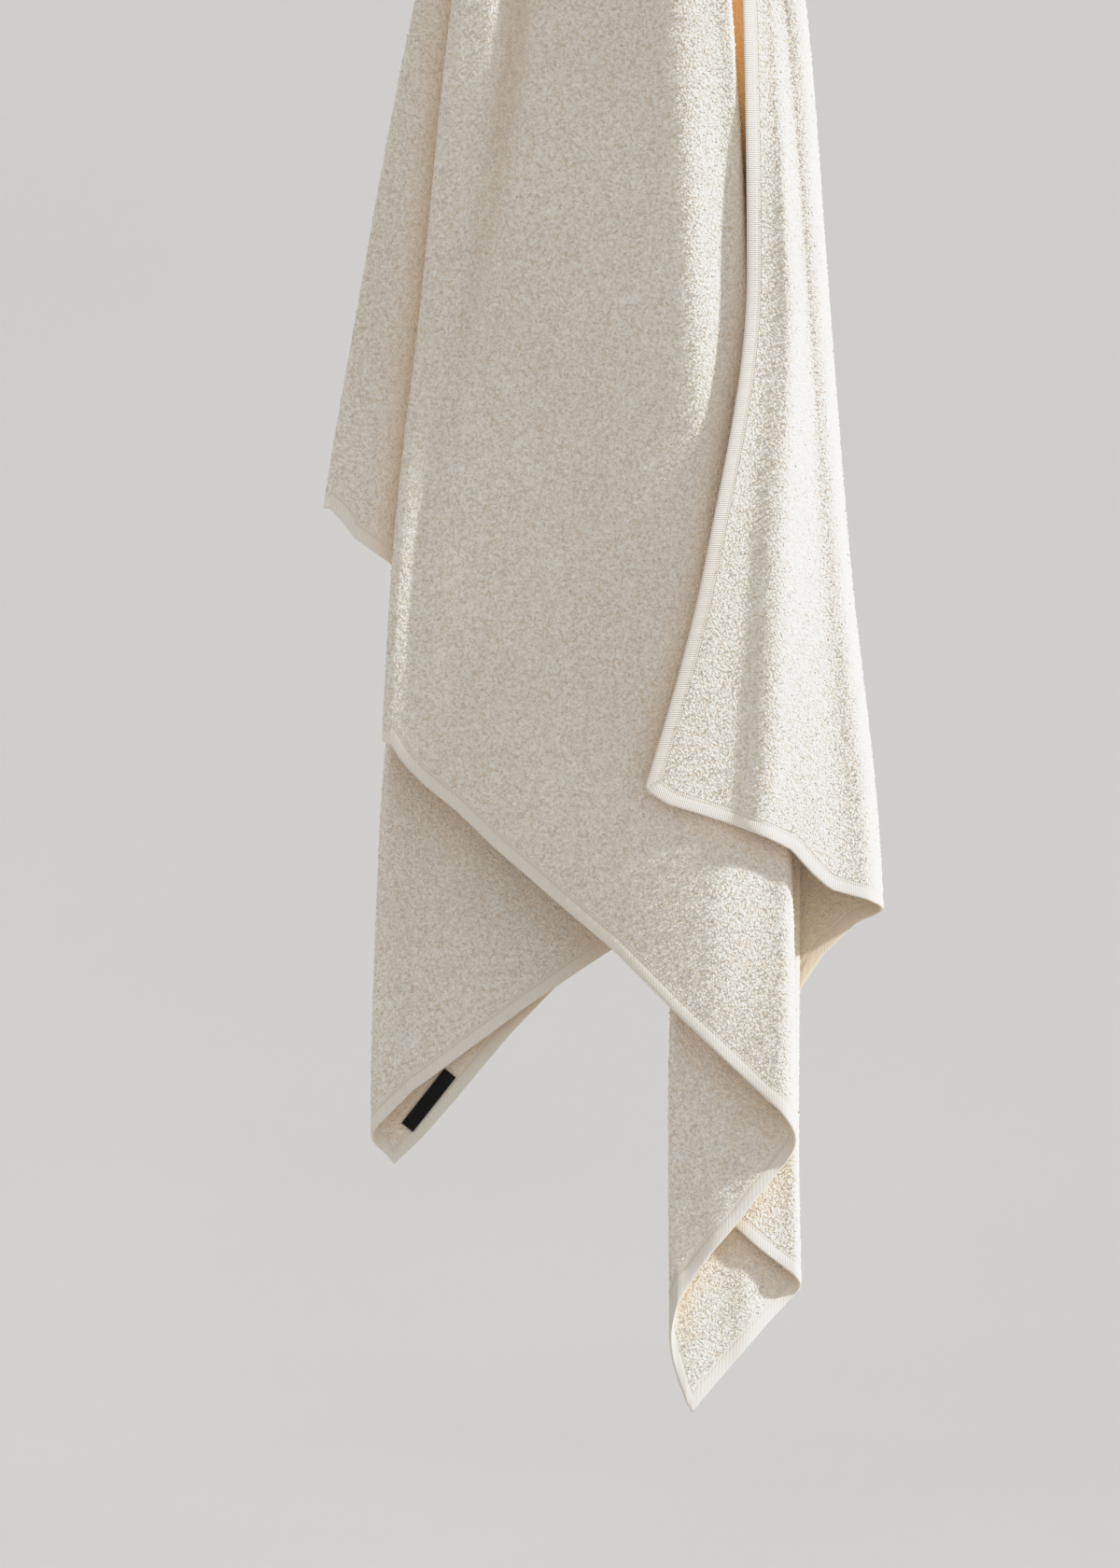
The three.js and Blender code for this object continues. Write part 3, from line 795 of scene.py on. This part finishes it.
def terry_material():
    """Cream cotton: looped ground with its shadows, and a flat ribbed hem with a stitch line."""
    m = Nodes("terry")
    m.set(Roughness=0.95, Sheen_Weight=0.18, Sheen_Roughness=0.5, Specular_IOR_Level=0.2)
    place = m.place()
    loops = m.noise(place, LOOP_SCALE, detail=2.5, distortion=1.1)
    cells = m.put("ShaderNodeTexVoronoi", {"Vector": place, "Scale": CELL_SCALE}).outputs[0]
    clumps = m.noise(place, CLUMP_SCALE)
    broad = m.noise(place, BROAD_SCALE)
    pile = m.math("SUBTRACT", loops, m.math("MULTIPLY", cells, 0.45))
    pile_height = m.math("ADD", pile, m.math("MULTIPLY", clumps, 0.5))
    # The ground is darker in the hollows between the loops: painted shade
    pile_colour = m.ramp(pile, 0.02, 0.42, *GROUND_COLOURS)

    hem = m.put("ShaderNodeSeparateXYZ", {0: m.put("ShaderNodeUVMap", uv_map="Hem").outputs[0]})
    run, inset = hem.outputs[0], hem.outputs[1]
    ribs = m.math("SINE", m.math("MULTIPLY", run, 2 * math.pi / (RIB_PITCH * MM)))
    thread = m.noise(place, THREAD_SCALE)
    hem_height = m.math("ADD", m.math("MULTIPLY", ribs, 0.10), m.math("MULTIPLY", thread, 0.12))
    # The hem is darker in the grooves between its ribs, as painted shade, and varies with the thread's own
    # random tone
    hem_colour = m.ramp(m.math("ADD", ribs, thread), -0.6, 1.6, *HEM_COLOURS)
    # Painted shade in the groove of the stitch line
    from_seam = m.math("ABSOLUTE", m.math("SUBTRACT", inset, STITCH_INSET * MM))
    in_seam = m.between(from_seam, SEAM_WIDTHS[0] * MM, SEAM_WIDTHS[1] * MM)
    hem_colour = m.blend(m.math("MULTIPLY", in_seam, SEAM_SHADE_TINT), hem_colour, (*SEAM_SHADE_COLOUR, 1))

    in_hem = m.between(inset, (HEM_WIDTH + HEM_FADE) * MM, HEM_WIDTH * MM)
    colour = m.blend(in_hem, pile_colour, hem_colour)
    toned = m.blend(1.0, colour, m.ramp(broad, 0.35, 0.65, *GROUND_TONES), blend_type="MULTIPLY")
    # Painted warm shade in the pockets between the layers
    pocket = m.put("ShaderNodeAttribute", attribute_name="Pocket").outputs["Fac"]
    m.link(m.blend(m.math("MULTIPLY", pocket, POCKET_SHADE_TINT), toned, (*POCKET_SHADE_COLOUR, 1)), "Base Color")
    m.bump(m.blend(in_hem, pile_height, hem_height, "FLOAT"), *TERRY_BUMP)
    return m.material


def yarn_materials():
    """The cream yarns, each the same all over a tuft."""
    made = []
    for number, colour in enumerate(YARNS, 1):
        m = Nodes(f"yarn_{number}")
        m.set(Base_Color=(*colour, 1), Roughness=0.92, Sheen_Weight=0.2, Sheen_Roughness=0.45,
              Specular_IOR_Level=0.25)
        made.append(m.material)
    return made


def label_material():
    """Black woven tape: close crosswise ribs with a dull sheen."""
    m = Nodes("label_weave")
    m.set(Roughness=0.75, Sheen_Weight=0.1, Sheen_Roughness=0.4, Specular_IOR_Level=0.2)
    slope = m.put("ShaderNodeMapping", {"Vector": m.place(), "Rotation": (0, LABEL_SLOPE, 0)}).outputs[0]
    weft, warp = (
        m.put("ShaderNodeTexWave", {"Vector": slope, "Scale": scale, "Distortion": distortion},
              bands_direction=direction).outputs[1]
        for scale, distortion, direction in ((WEFT_SCALE, 0.6, "Z"), (WARP_SCALE, 0.4, "X"))
    )
    weave = m.math("MULTIPLY", weft, warp)
    # The tape is darker in the grooves of its weave: painted shade
    m.link(m.ramp(weave, 0.0, 0.8, *LABEL_COLOURS), "Base Color")
    m.bump(weave, *LABEL_BUMP)
    return m.material


def hook_material():
    """Satin steel, with faint brush marks and small changes of gloss."""
    m = Nodes("satin_steel")
    m.set(Base_Color=(*STEEL_COLOUR, 1), Metallic=1.0)
    place = m.place()
    stretched = m.put("ShaderNodeMapping", {"Vector": place, "Scale": BRUSH_SCALES}).outputs[0]
    brush = m.noise(stretched, 1.0, detail=3.0)
    smear = m.noise(place, SMEAR_SCALE)
    gloss = m.math("ADD", m.math("MULTIPLY", brush, 0.12), m.math("MULTIPLY", smear, 0.16))
    m.link(m.math("ADD", gloss, 0.20), "Roughness")
    m.bump(brush, *STEEL_BUMP)
    return m.material


def stage_material():
    """Matt off-white paper."""
    m = Nodes("paper")
    m.set(Roughness=0.95, Specular_IOR_Level=0.1)
    m.link(m.ramp(m.noise(m.place(), PAPER_SCALE), 0.3, 0.7, *PAPER_COLOURS), "Base Color")
    return m.material


def build_stage():
    """A floor that curves up into a low wall all round, turned from one profile."""
    arc = np.linspace(0, math.pi / 2, SWEEP_STEPS)
    wall = FLOOR_RADIUS + SWEEP_RADIUS
    radius = np.concatenate([FLOOR_RINGS, FLOOR_RADIUS + SWEEP_RADIUS * np.sin(arc), [wall]])
    rise = SWEEP_RADIUS * (1 - np.cos(arc))
    height = np.concatenate([np.zeros(len(FLOOR_RINGS)), rise, [WALL_TOP - FLOOR_HEIGHT]]) + FLOOR_HEIGHT
    angle = np.linspace(0, 2 * math.pi, SWEEP_SIDES, endpoint=False)
    points = np.stack([
        radius[:, None] * np.cos(angle), radius[:, None] * np.sin(angle), height[:, None] + 0 * angle,
    ], axis=-1)
    grid = np.arange(len(radius) * SWEEP_SIDES).reshape(len(radius), SWEEP_SIDES)
    turned = np.roll(grid, -1, axis=1)
    faces = np.stack([grid[:-1], grid[1:], turned[1:], turned[:-1]], axis=-1).reshape(-1, 4)
    sweep = new_object("sweep", points.reshape(-1, 3) / MM, faces)
    sweep.data.materials.append(stage_material())


def build_camera():
    """A camera straight in front of the picture's middle, with the picture's height as its view."""
    centre_x = (PICTURE[0] / 2 - HOOK_PIXEL[0]) * PIXEL
    centre_z = BALL_HEIGHT * MM - (PICTURE[1] / 2 - HOOK_PIXEL[1]) * PIXEL
    data = bpy.data.cameras.new("camera")
    data.sensor_width = SENSOR
    data.lens = SENSOR * CAMERA_DISTANCE / (PICTURE[1] * PIXEL)
    camera = bpy.data.objects.new("camera", data)
    camera.location = (centre_x, -CAMERA_DISTANCE - FRONT_PLANE, centre_z)
    camera.rotation_euler = (math.pi / 2, 0, 0)
    bpy.context.scene.collection.objects.link(camera)
    bpy.context.scene.camera = camera


def add_light(name, kind, power, colour, way):
    """A light that shines one way."""
    data = bpy.data.lights.new(name, kind)
    data.energy = power
    data.color = colour
    light = bpy.data.objects.new(name, data)
    light.rotation_euler = Vector(way).to_track_quat("-Z", "Y").to_euler()
    bpy.context.scene.collection.objects.link(light)
    return light


def build_light(lit):
    """The room's soft light, the sun, which falls on the object alone, and the warm light in the gap."""
    world = bpy.data.worlds.new("studio")
    world.use_nodes = True
    background = world.node_tree.nodes["Background"]
    background.inputs["Color"].default_value = (*ROOM_COLOUR, 1)
    background.inputs["Strength"].default_value = ROOM_STRENGTH
    bpy.context.scene.world = world
    sun = add_light("sun", "SUN", SUN_STRENGTH, SUN_COLOUR, SUN_WAY)
    sun.data.angle = SUN_WIDTH
    sun.light_linking.receiver_collection = lit
    glow = add_light("sun_through_cloth", "AREA", GLOW_POWER, GLOW_COLOUR, GLOW_WAY)
    glow.data.shape = "RECTANGLE"
    glow.data.size, glow.data.size_y = GLOW_SIZE
    glow.location = GLOW_PLACE
    glow.visible_camera = False


def set_tones():
    """Plain tones in the shade, with the sunlit cloth eased towards white as a camera does it."""
    view = bpy.context.scene.view_settings
    view.view_transform = "Standard"
    view.use_curve_mapping = True
    tones = view.curve_mapping
    tones.white_level = (TONE_LIMIT, TONE_LIMIT, TONE_LIMIT)
    curve = tones.curves[ALL_COLOURS]
    for light, shown in TONES:
        curve.points.new(light / TONE_LIMIT, shown)
    curve.points[-1].location = (1, TONE_TOP)
    tones.update()


build_camera()
shape = shape_towel()
shape["open"] = {side: openness(shape, side) for side in SIDES}
towel = build_towel(shape)
towel.data.materials.append(terry_material())
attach(towel, "root")
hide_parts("towel")

yarns = yarn_materials()
trims = [build_stitches(shape), *build_pile(shape, yarns)]
trims[0].data.materials.append(yarns[0])
for piece in trims:
    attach(piece, "root")

label = build_label()
label.data.materials.append(label_material())
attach(label, "root")
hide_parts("label")

steel = hook_material()
for name in ("hook_arm", "hook_plate"):
    bpy.data.objects[name].material_slots[0].material = steel

lit = bpy.data.collections.new("sunlit")
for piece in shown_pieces():
    lit.objects.link(piece)
build_stage()
build_light(lit)
set_tones()
